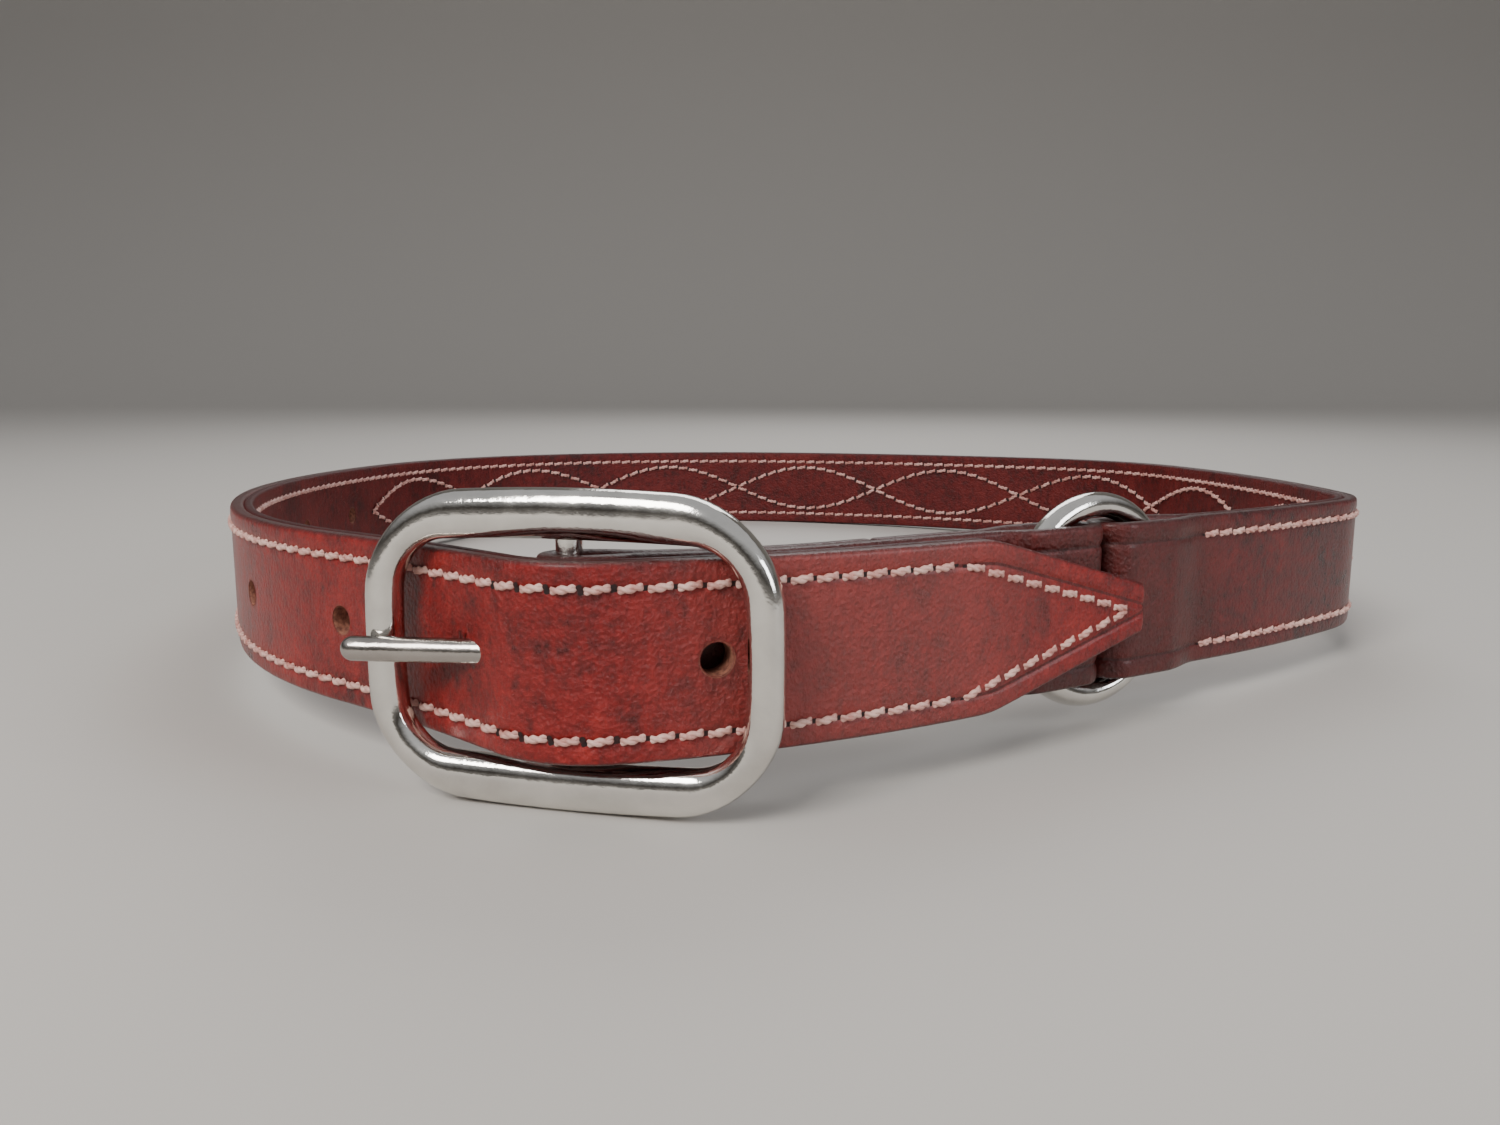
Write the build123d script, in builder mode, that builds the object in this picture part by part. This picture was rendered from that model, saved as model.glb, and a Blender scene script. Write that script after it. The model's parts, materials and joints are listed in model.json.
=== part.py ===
from build123d import *

import os
from math import atan2, cos, degrees, hypot, pi, radians, sin, sqrt

# A leather ring belt, buckled into its loop: a lined strap, a ring, a short chape and a
# centre-bar buckle. The belt stands on its edge, as it does on a table.

# ---------------------------------------------------------------- leather, mm
strap_width = 32.0
outer_thickness = 3.0        # grain leather of the long strap
lining_thickness = 2.0       # lining, and the skived return of the fold
chape_thickness = 2.8        # each ply of the chape
point_length = 39.0          # from the shoulders to the blunt end
point_blunt = 9.5            # width left at the end of the point
hole_diameter = 5.4
hole_pitch = 40.2
hole_count = 8
first_hole = 92.5            # from the end of the point to the first hole
prong_hole = 1               # which hole the prong is in, counted from zero

# ---------------------------------------------------------------- hardware, mm
ring_wire = 5.0
ring_play = 2.0              # ring's bore over the strap's width
ring_bore = strap_width + ring_play
buckle_length = 71.8         # outer size along the belt
buckle_depth = 6.0
side_bar = 5.6               # width of the toe and heel bars
long_bar = 8.0               # width of the top and bottom bars
end_bow = 1.2                # how far the toe and heel bars bow out
long_bow = 1.8               # how far the top and bottom bars bow out
opening_bow = 0.8            # the same, on the opening's side
opening_play = 5.2           # opening's height over the strap's width
buckle_height = strap_width + opening_play + 2 * long_bar
frame_corner = 16.0          # outer corner radius
opening_corner = 6.5         # corner radius of the opening
frame_round = 2.5            # rounding along the frame's edges
bar_diameter = 4.4
bar_socket = 4.0             # depth of the bar in the frame at each end
bar_setback = 1.5            # bar axis behind the middle of the frame
prong_diameter = 4.2
prong_overhang = 4.6         # tip past the toe bar's axis
eye_height = 6.4
eye_wall = 2.6

# ---------------------------------------------------------------- thread, mm
seam_inset = 4.1             # seam line from the strap's edge
tip_inset = 4.7              # where the seam turns back, from the blunt end
seam_margin = 0.5            # from the ring's fold to the first stitch
thread_width = 0.9
thread_height = 0.35
thread_rest = 0.1            # a straight stitch on a curved face stands off by this
wave_start = 108.0           # station where the quilted waves begin
wave_half = 65.5             # one half wave along the strap
wave_halves = 8
wave_rise = 9.3
stitches_per_half = 14
stitch_length = 3.9

# ---------------------------------------------------------------- clearances, mm
running_clearance = 0.05     # prong on the bar
loose_clearance = 0.3        # leather around metal that moves in it
lap_gap = 0.5                # leather lying on leather, with a seam's thread between
prong_gap = 0.15             # prong above the toe bar
butt_gap = 0.4
fold_gap = 0.25              # each fold's nose from the middle of the ring
tilt_swing = 1.3             # degrees that the buckle rocks each way, with a little spare
prong_swing = 5.2            # degrees that the prong lifts, with a little spare

# ---------------------------------------------------------------- the belt's course, seen from above
# Each leg is (length, turn in degrees to the left). The course follows the joint between the
# long strap's outer leather and its lining, and the inside of the loop is on its left.
ring_heading = 30.0
ring_run = 30.0
right_run = 116.0
left_run = 109.0
legs_from_ring = [(ring_run, 0.0), (58.0, 10.0), (26.0, 40.0), (right_run, 19.0), (64.0, 45.0)]
over_bar = (20.0, 57.5)
legs_to_point = [
    (85.0, 45.0), (left_run, 23.0), (74.0, 19.0), (56.0, 24.0), (48.0, -7.0),
    over_bar, (30.0, 9.0), (30.0, 7.0), (47.5, 0.0),
]
point_overlap = 2.8          # end of the point past the middle of the ring
bar_along = 9.0              # bar's place along the over_bar leg
chape_lie = 8.0              # heading of the chape where it leaves the bar
frame_heading = -13.5
bar_run = 14.0               # from the bar to where the chape's plies meet
slot_reach = 7.0             # end of the prong's slot in the chape, from the bar's axis

half_width = strap_width / 2
fold_half = ring_wire / 2 + loose_clearance          # half of the ring's pocket
seam_height = half_width - seam_inset
cut_margin = 1.0                                     # a cut starts this far outside the leather


def end_of_leg(place, leg):
    """Where a leg ends: an arc of the leg's length that turns its heading, or a straight."""
    x, y, heading = place
    length, turn = leg
    a, b = radians(heading), radians(heading + turn)
    if turn == 0:
        return x + length * cos(a), y + length * sin(a), heading
    radius = length / (b - a)
    return x + radius * (sin(b) - sin(a)), y - radius * (cos(b) - cos(a)), heading + turn


def start_of_leg(place, leg):
    """Where a leg starts, from where it ends: the same leg walked backwards."""
    length, turn = leg
    x, y, heading = end_of_leg((place[0], place[1], place[2] + 180), (length, -turn))
    return x, y, heading - 180


def closing_legs(first, last):
    """Two arcs that join two places with one shared tangent, as a biarc with equal handles."""
    (x0, y0, h0), (x1, y1, h1) = first, last
    t0, t1 = (cos(radians(h0)), sin(radians(h0))), (cos(radians(h1)), sin(radians(h1)))
    v = (x1 - x0, y1 - y0)
    along = v[0] * (t0[0] + t1[0]) + v[1] * (t0[1] + t1[1])
    spread = 2 * (1 - t0[0] * t1[0] - t0[1] * t1[1])
    handle = (sqrt(along**2 + spread * hypot(*v) ** 2) - along) / spread
    middle = [(x0 + x1 + handle * (t0[0] - t1[0])) / 2, (y0 + y1 + handle * (t0[1] - t1[1])) / 2]
    legs = []
    for (xa, ya, h), (xb, yb), side in (((x0, y0, h0), middle, 1), ((x1, y1, h1), middle, -1)):
        chord = degrees(atan2(side * (yb - ya), side * (xb - xa)))
        half_turn = (chord - h + 180) % 360 - 180
        turn = 2 * half_turn * side
        length = hypot(xb - xa, yb - ya)
        if abs(turn) > 1e-9:
            length *= radians(abs(turn) / 2) / sin(radians(abs(turn) / 2))
        legs.append((length, turn))
    return legs


def spot(course, station, offset=0.0):
    """The point at a distance along a course, moved to its left by the offset, and the heading."""
    place, legs = course
    for leg in legs:
        if station <= leg[0] or leg is legs[-1]:
            break
        station -= leg[0]
        place = end_of_leg(place, leg)
    part_turn = leg[1] * station / leg[0]
    x, y, heading = end_of_leg(place, (station, part_turn)) if station else place
    side = radians(heading + 90)
    return x + offset * cos(side), y + offset * sin(side), heading


def point(course, station, offset=0.0):
    return spot(course, station, offset)[:2]


def follow(course, first, last, offset):
    """Lines and arcs along a course from one station to another, at an offset."""
    station = 0.0
    for length, turn in course[1]:
        a, b = max(first, station), min(last, station + length)
        station += length
        if b - a < 1e-6:
            continue
        ends = point(course, a + 1e-9, offset), point(course, b - 1e-9, offset)
        if turn == 0:
            Line(*ends)
        else:
            ThreePointArc(ends[0], point(course, (a + b) / 2, offset), ends[1])


def layer(course, first, last, near, far):
    """Closed outline of one leather layer seen from above, between two offsets."""
    with BuildLine() as edge:
        follow(course, first, last, near)
        follow(course, first, last, far)
        Line(point(course, first, near), point(course, first, far))
        Line(point(course, last, near), point(course, last, far))
    make_face(edge.edges())


def face_plane(course, station, offset, height=0.0, climb=0.0):
    """A plane on the strap's face: x along the strap at a climb, y up, z out of the loop."""
    x, y, heading = spot(course, station, offset)
    a = radians(heading)
    along = (cos(a) * cos(climb), sin(a) * cos(climb), sin(climb))
    return Plane(origin=(x, y, height), x_dir=along, z_dir=(sin(a), -cos(a), 0))


def fold_skin(run, half, outer_end, inner_end, begin, nose):
    """Outline of a fold seen from above, in its own frame, x from the nose into the strap."""
    settle = run - begin
    with BuildLine() as edge:
        ThreePointArc((nose + half, half), (nose, 0), (nose + half, -half))
        Line((nose + half, half), (begin, half))
        Line((nose + half, -half), (begin, -half))
        ends = []
        for side, target in ((1, outer_end), (-1, inner_end)):
            middle = (begin + settle / 2, side * (half + target) / 2)
            first = TangentArc((begin, side * half), middle, tangent=(1, 0))
            TangentArc(middle, (run, side * target), tangent=first % 1)
            ends.append((run, side * target))
        Line(*ends)
    make_face(edge.edges())


def fold_pocket(half, begin, apex, nose):
    """Outline of the pocket in a fold: round at the nose, and closing to a line at the seam."""
    with BuildLine() as edge:
        ThreePointArc((nose + half, half), (nose, 0), (nose + half, -half))
        Polyline((nose + half, half), (begin, half), (apex, 0), (begin, -half), (nose + half, -half))
    make_face(edge.edges())


# ---------------------------------------------------------------- places that the pieces share
# The ring's middle is the start. The end of the point lies outside both folds there.
ring_place = (0.0, 0.0, ring_heading)
fold_out = fold_half + max(outer_thickness, chape_thickness)
point_out = -(fold_out + lap_gap + lining_thickness)
point_place = spot((ring_place, [(ring_run, 0.0)]), point_overlap, point_out)

open_end = ring_place
for leg in legs_from_ring:
    open_end = end_of_leg(open_end, leg)
open_start = point_place
for leg in reversed(legs_to_point):
    open_start = start_of_leg(open_start, leg)
strap_legs = legs_from_ring + closing_legs(open_end, open_start) + legs_to_point
strap_course = (ring_place, strap_legs)
strap_end = sum(leg[0] for leg in strap_legs)

# The chape runs from the centre bar to the ring, between the folds at its two ends.
bar_radius = bar_diameter / 2
bar_pocket = bar_radius + loose_clearance
bar_depth = lining_thickness + lap_gap + chape_thickness + bar_pocket
bar_leg = legs_to_point.index(over_bar)
bar_station = strap_end - sum(leg[0] for leg in legs_to_point[bar_leg:]) + bar_along
bar_at = point(strap_course, bar_station, bar_depth)
bar_end = end_of_leg(bar_at + (chape_lie,), (bar_run, 0.0))
ring_end = start_of_leg(ring_place, (ring_run, 0.0))
chape_legs = [(bar_run, 0.0)] + closing_legs(bar_end, ring_end) + [(ring_run, 0.0)]
chape_course = (bar_at + (chape_lie,), chape_legs)
chape_end = sum(leg[0] for leg in chape_legs)

frame_turn = radians(frame_heading)
frame_out = (sin(frame_turn), -cos(frame_turn), 0)
frame_at = (bar_at[0] + bar_setback * frame_out[0], bar_at[1] + bar_setback * frame_out[1])
frame_plane = Plane(origin=(*frame_at, 0), x_dir=(cos(frame_turn), sin(frame_turn), 0), z_dir=frame_out)
bar_seat = Plane(origin=(*bar_at, 0), x_dir=frame_plane.x_dir, z_dir=(0, 0, 1))

# The prong's shank, seen from above in the bar's frame: x towards the heel bar, y into the loop.
eye_bore = bar_radius + running_clearance
eye_radius = eye_bore + eye_wall
prong_radius = prong_diameter / 2
toe_along = -(buckle_length - side_bar) / 2
toe_out = -(bar_setback + buckle_depth / 2 + prong_gap + prong_radius)
root_out = -(eye_radius - prong_radius)
shank_turn = atan2(toe_out - root_out, toe_along)
shank_length = hypot(toe_along, toe_out - root_out) + prong_overhang


def shank_edge(side, swing):
    """The two ends of one side of the prong's way through the strap, swung about the bar."""
    reach = prong_radius + loose_clearance
    ends = []
    for along in (0.0, shank_length):
        x = along * cos(shank_turn) + side * reach * sin(shank_turn)
        y = root_out + along * sin(shank_turn) - side * reach * cos(shank_turn)
        a = radians(swing)
        ends.append((x * cos(a) - y * sin(a), x * sin(a) + y * cos(a)))
    return ends


def prong_way():
    """Outline of the room that the prong needs, from the buckle rocked in to the prong lifted."""
    inward = shank_edge(1, -tilt_swing)
    outward = shank_edge(-1, tilt_swing + prong_swing)
    with BuildLine() as edge:
        Polyline(*inward, *reversed(outward), close=True)
    make_face(edge.edges())


# ---------------------------------------------------------------- long strap and lining
hole_stations = [strap_end - first_hole - hole_pitch * n for n in range(hole_count)]
free_holes = [s for n, s in enumerate(hole_stations) if n != prong_hole]
through = 4 * (outer_thickness + lining_thickness)
return_end = 68.0            # end of the folded-back ply that is stitched down
fold_begin = ring_bore / 2 + 0.5                     # the plies start to close
pocket_begin = (ring_bore + ring_wire) / 2 + 1.0     # the pocket starts to close
pocket_apex = ring_bore / 2 + ring_wire + 5.0        # the plies meet
ring_along = (cos(radians(ring_heading)), sin(radians(ring_heading)), 0)
ring_out = (sin(radians(ring_heading)), -cos(radians(ring_heading)), 0)
right_plane = Plane(origin=(0, 0, -half_width), x_dir=ring_along)
left_plane = Plane(origin=(0, 0, -half_width), x_dir=-right_plane.x_dir)


def cut_point():
    """Trim the end of the strap to its blunt point."""
    for side in (1, -1):
        with BuildSketch(face_plane(strap_course, strap_end, 0)) as waste:
            with BuildLine():
                Polyline(
                    (-point_length, side * half_width),
                    (0, side * point_blunt / 2),
                    (cut_margin, side * point_blunt / 2),
                    (cut_margin, side * (half_width + cut_margin)),
                    (-point_length, side * (half_width + cut_margin)),
                    close=True,
                )
            make_face()
        extrude(waste.sketch, amount=through, both=True, mode=Mode.SUBTRACT)


def punch_holes():
    """Free holes, and the way that the prong takes through its own hole."""
    for station in free_holes:
        with BuildSketch(face_plane(strap_course, station, 0)) as hole:
            Circle(hole_diameter / 2)
        extrude(hole.sketch, amount=through, both=True, mode=Mode.SUBTRACT)
    with BuildSketch(bar_seat) as way:
        prong_way()
    extrude(way.sketch, amount=hole_diameter / 2, both=True, mode=Mode.SUBTRACT)


with BuildPart() as main_strap:
    with BuildSketch(Plane.XY.offset(-half_width)):
        layer(strap_course, ring_run, strap_end, 0, -outer_thickness)
    extrude(amount=strap_width)
    with BuildSketch(Plane.XY.offset(-half_width)):
        layer(strap_course, ring_run, return_end, lining_thickness, 0)
    extrude(amount=strap_width)
    with BuildSketch(right_plane):
        outside = fold_half + outer_thickness
        fold_skin(ring_run, outside, lining_thickness, outer_thickness, fold_begin, fold_gap)
    extrude(amount=strap_width)
    with BuildSketch(right_plane):
        fold_pocket(fold_half, pocket_begin, pocket_apex, fold_gap + outer_thickness)
    extrude(amount=strap_width, mode=Mode.SUBTRACT)
    cut_point()
    punch_holes()

with BuildPart() as strap_lining:
    with BuildSketch(Plane.XY.offset(-half_width)):
        layer(strap_course, return_end + butt_gap, strap_end, lining_thickness, 0)
    extrude(amount=strap_width)
    cut_point()
    punch_holes()

# ---------------------------------------------------------------- chape
# One strip folded round the bar and round the ring. Its ends meet on the inside.
nose_at_bar = -(bar_pocket + chape_thickness)
bar_fold_begin = 1.0
bar_pocket_begin = 0.5
bar_pocket_apex = 11.0
slot_height = eye_height + 2 * loose_clearance
bar_fold_plane = Plane(
    origin=(*bar_at, -half_width),
    x_dir=(cos(radians(chape_lie)), sin(radians(chape_lie)), 0),
)

with BuildPart() as chape:
    with BuildSketch(Plane.XY.offset(-half_width)):
        layer(chape_course, bar_run, chape_end - ring_run, chape_thickness, -chape_thickness)
    extrude(amount=strap_width)
    with BuildSketch(left_plane):
        outside = fold_half + chape_thickness
        fold_skin(ring_run, outside, chape_thickness, chape_thickness, fold_begin, fold_gap)
    extrude(amount=strap_width)
    with BuildSketch(left_plane):
        fold_pocket(fold_half, pocket_begin, pocket_apex, fold_gap + chape_thickness)
    extrude(amount=strap_width, mode=Mode.SUBTRACT)
    with BuildSketch(bar_fold_plane):
        outside = bar_pocket + chape_thickness
        fold_skin(bar_run, outside, chape_thickness, chape_thickness, bar_fold_begin, nose_at_bar)
    extrude(amount=strap_width)
    with BuildSketch(bar_fold_plane):
        fold_pocket(bar_pocket, bar_pocket_begin, bar_pocket_apex, -bar_pocket)
    extrude(amount=strap_width, mode=Mode.SUBTRACT)
    with BuildSketch(bar_fold_plane.offset(half_width)):
        with Locations((slot_reach, 0)):
            slot_length = slot_reach - nose_at_bar + cut_margin
            Rectangle(slot_length, -2 * nose_at_bar + 2 * cut_margin, align=(Align.MAX, Align.CENTER))
    extrude(amount=slot_height / 2, both=True, mode=Mode.SUBTRACT)
    with BuildSketch(face_plane(chape_course, chape_end / 2, chape_thickness / 2)):
        Rectangle(butt_gap, strap_width)
    extrude(amount=chape_thickness / 2, both=True, mode=Mode.SUBTRACT)

# ---------------------------------------------------------------- ring
ring_middle = (ring_bore + ring_wire) / 2

with BuildPart(Plane(origin=(0, 0, 0), x_dir=(0, 0, 1), z_dir=ring_out)) as ring:
    Torus(ring_middle, ring_wire / 2)


# ---------------------------------------------------------------- buckle
def bowed_outline(length, height, bow):
    """A rectangle with bowed sides, measured over the bows."""
    x, y = length / 2 - end_bow, height / 2 - bow
    with BuildLine() as edge:
        ThreePointArc((-x, -y), (-length / 2, 0), (-x, y))
        ThreePointArc((-x, y), (0, height / 2), (x, y))
        ThreePointArc((x, y), (length / 2, 0), (x, -y))
        ThreePointArc((x, -y), (0, -height / 2), (-x, -y))
    make_face(edge.edges())


with BuildSketch(frame_plane) as frame_outside:
    bowed_outline(buckle_length, buckle_height, long_bow)
    fillet(frame_outside.vertices(), frame_corner)

with BuildSketch(frame_plane) as frame_inside:
    bowed_outline(buckle_length - 2 * side_bar, buckle_height - 2 * long_bar, opening_bow)
    fillet(frame_inside.vertices(), opening_corner)

bar_length = buckle_height - 2 * long_bar + 2 * bar_socket

with BuildPart() as buckle_frame:
    extrude(frame_outside.sketch, amount=buckle_depth / 2, both=True)
    extrude(frame_inside.sketch, amount=buckle_depth / 2, both=True, mode=Mode.SUBTRACT)
    for face_of_frame in (0, -1):
        depth_axis = Axis(origin=(0, 0, 0), direction=frame_plane.z_dir)
        fillet(buckle_frame.edges().group_by(depth_axis)[face_of_frame], frame_round)
    with BuildSketch(bar_seat):
        Circle(bar_radius)
    extrude(amount=bar_length / 2, both=True, mode=Mode.SUBTRACT)

with BuildPart() as centre_bar:
    with BuildSketch(bar_seat):
        Circle(bar_radius)
    extrude(amount=bar_length / 2, both=True)

shank_direction = frame_plane.x_dir * cos(shank_turn) - frame_plane.z_dir * sin(shank_turn)
shank_origin = Vector(*bar_at, 0) - frame_plane.z_dir * root_out
shank_root = Plane(origin=shank_origin, x_dir=(0, 0, 1), z_dir=shank_direction)

with BuildPart() as prong:
    with BuildSketch(bar_seat):
        Circle(eye_radius)
    extrude(amount=eye_height / 2, both=True)
    with BuildSketch(shank_root):
        Circle(prong_radius)
    extrude(amount=shank_length - prong_radius)
    with Locations(shank_root.offset(shank_length - prong_radius)):
        Sphere(prong_radius)
    with BuildSketch(bar_seat):
        Circle(eye_bore)
    extrude(amount=eye_height, both=True, mode=Mode.SUBTRACT)


# ---------------------------------------------------------------- seam threads
def seam_bands(course, first, last, face, outwards):
    """A thread laid along each edge of a strap, on one of its faces."""
    for side in (1, -1):
        with BuildSketch(Plane.XY.offset(side * seam_height - thread_width / 2)) as band:
            layer(course, first, last, face, face + outwards * thread_height)
        extrude(band.sketch, amount=thread_width)


def point_seam(offset, direction):
    """The part of the edge seam that runs round the point, on one face."""
    slope = (half_width - point_blunt / 2) / point_length
    meet = -tip_inset
    shoulder = meet - seam_height / slope
    with BuildSketch(face_plane(strap_course, strap_end, offset)) as vee:
        with BuildLine() as edge:
            Polyline((shoulder, seam_height), (meet, 0), (shoulder, -seam_height))
        trace(edge.edges(), line_width=thread_width)
    extrude(vee.sketch, amount=direction * thread_height)
    return strap_end + shoulder


seam_first = ring_run + seam_margin
outer_face = -outer_thickness
inner_face = lining_thickness

with BuildPart() as edge_seam_needle_thread:
    seam_last = point_seam(outer_face, 1)
    seam_bands(strap_course, seam_first, seam_last, outer_face, -1)

with BuildPart() as edge_seam_bobbin_thread:
    seam_last = point_seam(inner_face, -1)
    seam_bands(strap_course, seam_first, seam_last, inner_face, 1)

chape_seam = (bar_run + seam_margin, chape_end - ring_run - seam_margin)

with BuildPart() as chape_seam_needle_thread:
    seam_bands(chape_course, *chape_seam, -chape_thickness, -1)

with BuildPart() as chape_seam_bobbin_thread:
    seam_bands(chape_course, *chape_seam, chape_thickness, 1)


# ---------------------------------------------------------------- quilted waves
def wave_places(sign, face, outwards):
    """Planes of the stitches of one wave, a sine along the strap, on one face."""
    places = []
    for n in range(wave_halves * stitches_per_half):
        along = (n + 0.5) * wave_half / stitches_per_half
        phase = pi * along / wave_half
        slope = sign * wave_rise * pi / wave_half * cos(phase)
        near_crossing = n % stitches_per_half in (0, stitches_per_half - 1)
        over = thread_height + thread_rest if sign < 0 and near_crossing else 0
        offset = face - outwards * (thread_rest + thread_height / 2 + over)
        height = sign * wave_rise * sin(phase)
        places.append(face_plane(strap_course, wave_start + along, offset, height, atan2(slope, 1)))
    return places


def wave_thread(sign, face, outwards):
    """All the stitches of one wave on one face."""
    with Locations(*wave_places(sign, face, outwards)):
        Box(stitch_length, thread_width, thread_height)


with BuildPart() as wave_a_needle_thread:
    wave_thread(1, outer_face, 1)

with BuildPart() as wave_a_bobbin_thread:
    wave_thread(1, inner_face, -1)

with BuildPart() as wave_b_needle_thread:
    wave_thread(-1, outer_face, 1)

with BuildPart() as wave_b_bobbin_thread:
    wave_thread(-1, inner_face, -1)

# ---------------------------------------------------------------- stance
# The belt stands on the buckle's lower bar in front and on the strap's edge behind.
pieces = {
    "main_strap": main_strap,
    "strap_lining": strap_lining,
    "chape": chape,
    "ring": ring,
    "buckle_frame": buckle_frame,
    "centre_bar": centre_bar,
    "prong": prong,
    "edge_seam_needle_thread": edge_seam_needle_thread,
    "edge_seam_bobbin_thread": edge_seam_bobbin_thread,
    "chape_seam_needle_thread": chape_seam_needle_thread,
    "chape_seam_bobbin_thread": chape_seam_bobbin_thread,
    "wave_a_needle_thread": wave_a_needle_thread,
    "wave_a_bobbin_thread": wave_a_bobbin_thread,
    "wave_b_needle_thread": wave_b_needle_thread,
    "wave_b_bobbin_thread": wave_b_bobbin_thread,
}
flat_box = main_strap.part.bounding_box()
buckle_drop = buckle_height / 2 - half_width
lean = degrees(atan2(buckle_drop, flat_box.max.Y - frame_at[1]))
tipped = Rot(-lean, 0, 0)
boxes = [(tipped * piece.part).bounding_box() for piece in pieces.values()]
low = [min(getattr(box.min, axis) for box in boxes) for axis in "XYZ"]
high = [max(getattr(box.max, axis) for box in boxes) for axis in "XYZ"]
stance = Pos(-(low[0] + high[0]) / 2, -(low[1] + high[1]) / 2, -low[2]) * tipped

os.makedirs("parts", exist_ok=True)
for name, piece in pieces.items():
    piece.part.move(stance)
    piece.part.label = name
    export_step(piece.part, f"parts/{name}.step")
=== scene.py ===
import json

import bmesh
import bpy
import numpy as np
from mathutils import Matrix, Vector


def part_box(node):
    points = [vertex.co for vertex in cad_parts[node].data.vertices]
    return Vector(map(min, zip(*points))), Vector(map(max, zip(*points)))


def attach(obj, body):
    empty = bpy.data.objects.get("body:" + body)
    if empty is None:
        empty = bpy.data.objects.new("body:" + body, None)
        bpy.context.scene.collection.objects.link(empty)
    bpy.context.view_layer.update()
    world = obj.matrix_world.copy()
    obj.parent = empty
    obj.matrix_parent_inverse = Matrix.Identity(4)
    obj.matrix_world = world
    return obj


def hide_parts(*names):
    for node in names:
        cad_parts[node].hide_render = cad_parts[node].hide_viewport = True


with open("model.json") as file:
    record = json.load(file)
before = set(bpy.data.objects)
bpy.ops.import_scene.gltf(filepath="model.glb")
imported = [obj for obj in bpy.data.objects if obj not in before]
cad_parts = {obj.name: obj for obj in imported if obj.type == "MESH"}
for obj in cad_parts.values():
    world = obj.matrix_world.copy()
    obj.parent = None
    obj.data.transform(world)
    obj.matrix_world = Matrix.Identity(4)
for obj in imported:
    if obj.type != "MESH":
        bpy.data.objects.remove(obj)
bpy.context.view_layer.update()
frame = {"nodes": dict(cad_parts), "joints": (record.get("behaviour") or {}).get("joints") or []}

# ---------------------------------------------------------------- how the belt stands
# The belt is laid out flat, in millimetres from the middle of the ring, and then leans forward
# onto the buckle's lower bar. The bar's own axis tells how far it leans.
tilt = next(joint for joint in frame["joints"] if joint["name"] == "buckle_tilt")
upright = np.array(tilt["axis"]) / np.linalg.norm(tilt["axis"])
lean = np.array([[1, 0, 0], [0, upright[2], upright[1]], [0, -upright[1], upright[2]]])
ring_middle = np.mean(np.array(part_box("ring")), axis=0)


def stood(places):
    """Places laid out flat in millimetres, turned by the lean and moved to the ring, in metres."""
    return ring_middle + np.asarray(places) @ lean.T / 1000


# ---------------------------------------------------------------- long strap, grain leather
# One strip of oxblood bridle leather, 32 mm wide and 3 mm thick. It starts as the skived return
# stitched down inside, goes round the ring, round the whole belt, and ends in a blunt point.
ring_heading = 30.0
# The strap's course, from the ring round the belt: the length and the turn of each bend.
strap_legs = [
    (30.0, 0.0), (58.0, 10.0), (26.0, 40.0), (116.0, 19.0), (64.0, 45.0), (116.68, 22.12),
    (111.63, 46.38), (85.0, 45.0), (109.0, 23.0), (74.0, 19.0), (56.0, 24.0), (48.0, -7.0),
    (20.0, 57.5), (30.0, 9.0), (30.0, 7.0), (47.5, 0.0),
]
strap = ((0.0, 0.0, ring_heading), strap_legs)
strap_end = sum(leg[0] for leg in strap_legs)
half_width = 16.0
grain_thickness, lining_thickness = 3.0, 2.0
outer_face, inner_face = -grain_thickness, lining_thickness
point_length, point_half, shoulder_ease = 39.0, 4.75, 2.0
return_end = 68.0
# The plies at the ring begin to part at ring_run, are parted at fold_reach, leave fold_bore round
# the wire, and stop fold_gap short of the ring's middle.
ring_run, fold_reach, fold_bore, fold_gap = 30.0, 17.5, 2.8, 0.25
# Sections stand this far apart along a strip, and at end_steps before a rounded end.
strap_step, fold_step = 1.3, 1.2
end_steps = np.array([0.9, 0.5, 0.2, 0.03, 0])
# The seam lies in a groove, with a slight bead between it and the edge.
seam_inset, groove_width = 4.1, 0.55
bead_inset, bead_width, bead_height = 2.1, 0.9, 0.10
# A section's points, by how far they lie inside the strip's edge.
section_insets = [16, 13, 10, 7.6, 6.0, 5.1, 4.6, 4.1, 3.6, 3.1, 2.4, 1.7, 1.1, 0.7, 0.4, 0.18, 0.05, 0]
thinnest_end, thinnest_edge = 0.2, 0.12
end_thinning, inset_crowding = 0.8, 0.4


def walk(start, legs, stations, offset=0.0):
    """Places, forward and left directions at distances along a chain of arcs, moved left by offset.

    The start is x, y and a heading in degrees, and a leg is a length and a turn in degrees.
    A leg of length L that turns by T has the curvature k = T / L. Its chord after a distance s
    is s sin(ks/2) / (ks/2) long, and lies at the leg's first heading plus ks/2.
    """
    length, turn = np.array(legs, float).T
    turn = np.radians(turn)
    bend = turn / length
    begins = np.concatenate([[0.0], np.cumsum(length)[:-1]])
    headings = np.radians(start[2]) + np.concatenate([[0.0], np.cumsum(turn)[:-1]])

    def chord(leg, s):
        """The chord of a leg's arc after a distance s."""
        half = bend[leg] * s / 2
        reach = s * np.sinc(half / np.pi)
        return np.stack([reach * np.cos(headings[leg] + half), reach * np.sin(headings[leg] + half)], -1)

    steps = chord(np.arange(len(length)), length)
    origins = np.array(start[:2]) + np.concatenate([[[0.0, 0.0]], np.cumsum(steps, axis=0)[:-1]])
    stations = np.atleast_1d(np.asarray(stations, float))
    leg = np.clip(np.searchsorted(begins, stations, side="right") - 1, 0, len(length) - 1)
    s = stations - begins[leg]
    heading = headings[leg] + bend[leg] * s
    forward = np.stack([np.cos(heading), np.sin(heading)], -1)
    left = np.stack([-np.sin(heading), np.cos(heading)], -1)
    return origins[leg] + chord(leg, s) + np.reshape(offset, (-1, 1)) * left, forward, left


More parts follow.
